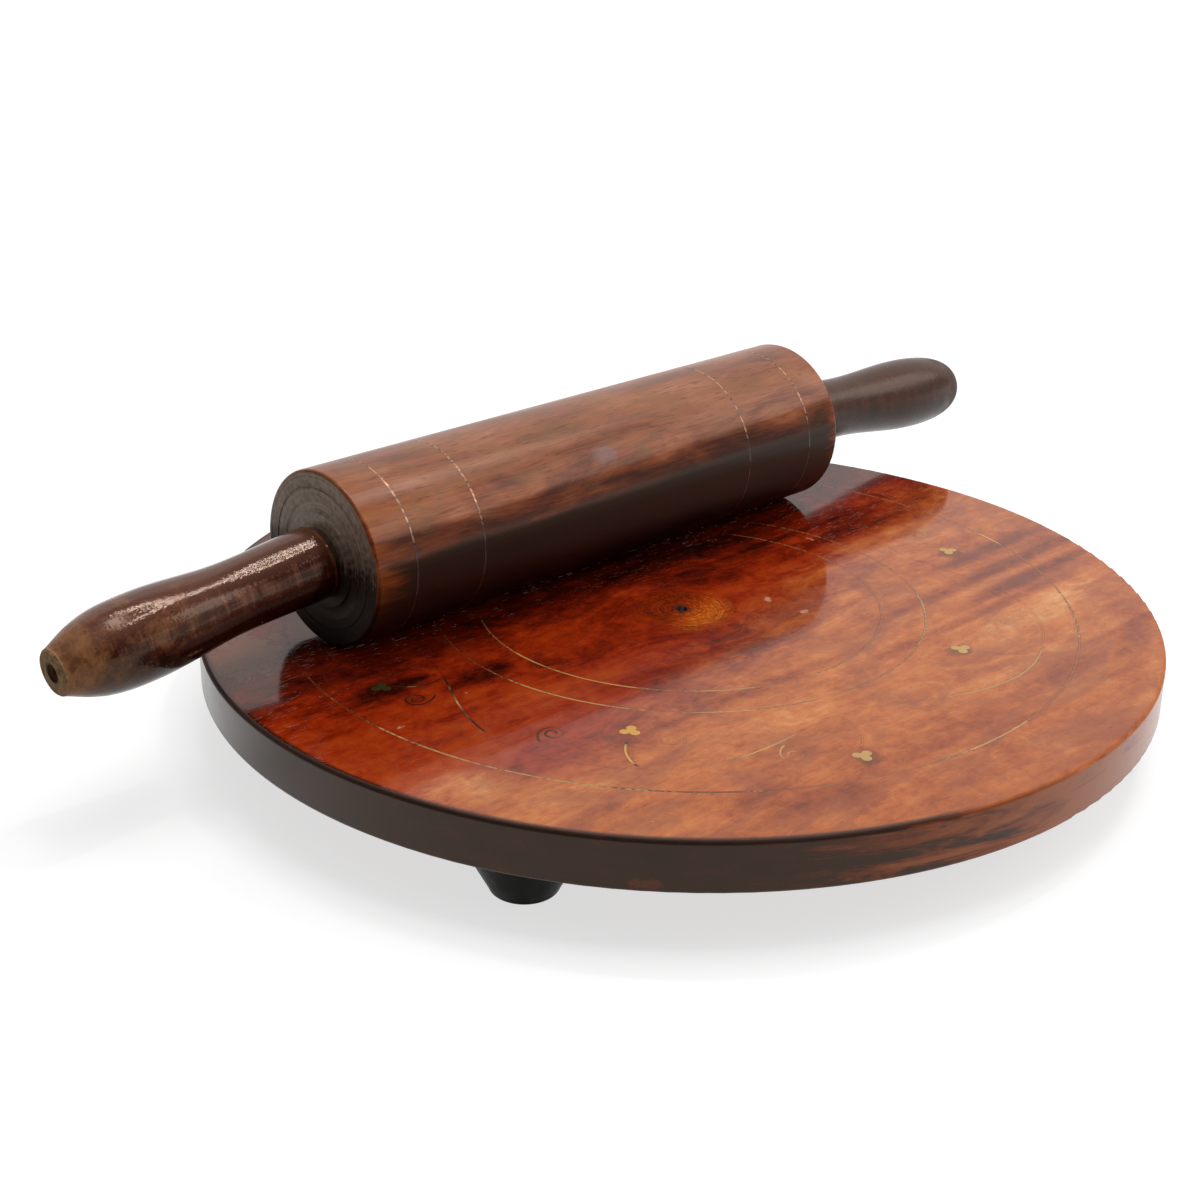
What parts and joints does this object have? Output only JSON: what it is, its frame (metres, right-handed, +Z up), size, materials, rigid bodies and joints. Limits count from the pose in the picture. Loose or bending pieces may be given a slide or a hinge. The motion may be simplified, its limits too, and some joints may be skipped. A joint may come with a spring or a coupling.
{
  "type": "rolling board with rolling pin",
  "caption": "Round hardwood rolling board on short turned feet, inlaid with a scroll of brass wire, with a turned rolling pin lying on it whose handles spin.",
  "frame": {"origin": "the centre of the board's underside projected on to the surface that the feet stand on", "axes": "+X runs along the rolling pin's axis, +Y runs across the board towards the pin, +Z is up"},
  "size_m": [0.3286, 0.254, 0.0739],
  "materials": {
    "board_wood": "glossy lacquer, red-orange to dark brown grain",
    "foot_wood": "satin, dark turned wood",
    "pin_wood": "glossy, brown heartwood with paler streaks and sapwood at the ends",
    "handle_wood": "glossy, dark reddish brown, worn at its edges",
    "brass": "worn flush, tarnished in places",
    "spindle_steel": "dull bare steel"
  },
  "bodies": {
    "board": {"board_disc": "board_wood", "front_foot": "foot_wood", "right_foot": "foot_wood", "back_foot": "foot_wood", "outer_ring_wire": "brass", "middle_ring_wire": "brass", "inner_ring_wire": "brass", "vine_wire": "brass", "stem_wires": "brass", "curl_wires": "brass", "leaf_inlays": "brass"},
    "roller": {"barrel": "pin_wood", "left_end_ring": "brass", "left_inner_ring": "brass", "right_inner_ring": "brass", "right_end_ring": "brass", "left_spindle": "spindle_steel", "right_spindle": "spindle_steel"},
    "left_grip": {"left_handle": "handle_wood"},
    "right_grip": {"right_handle": "handle_wood"}
  },
  "joints": [
    {"name": "roller_lift", "type": "slide", "parent": "board", "child": "roller", "axis": [0, 0, 1], "range_m": [0, 0.12]},
    {"name": "left_handle_spin", "type": "hinge", "parent": "roller", "child": "left_grip", "pos_m": [-0.0864, 0.0415, 0.05085], "axis": [-0.9949, 0, -0.1011], "continuous": true},
    {"name": "right_handle_spin", "type": "hinge", "parent": "roller", "child": "right_grip", "pos_m": [0.0842, 0.0415, 0.05085], "axis": [0.9977, 0, -0.068], "continuous": true}
  ]
}
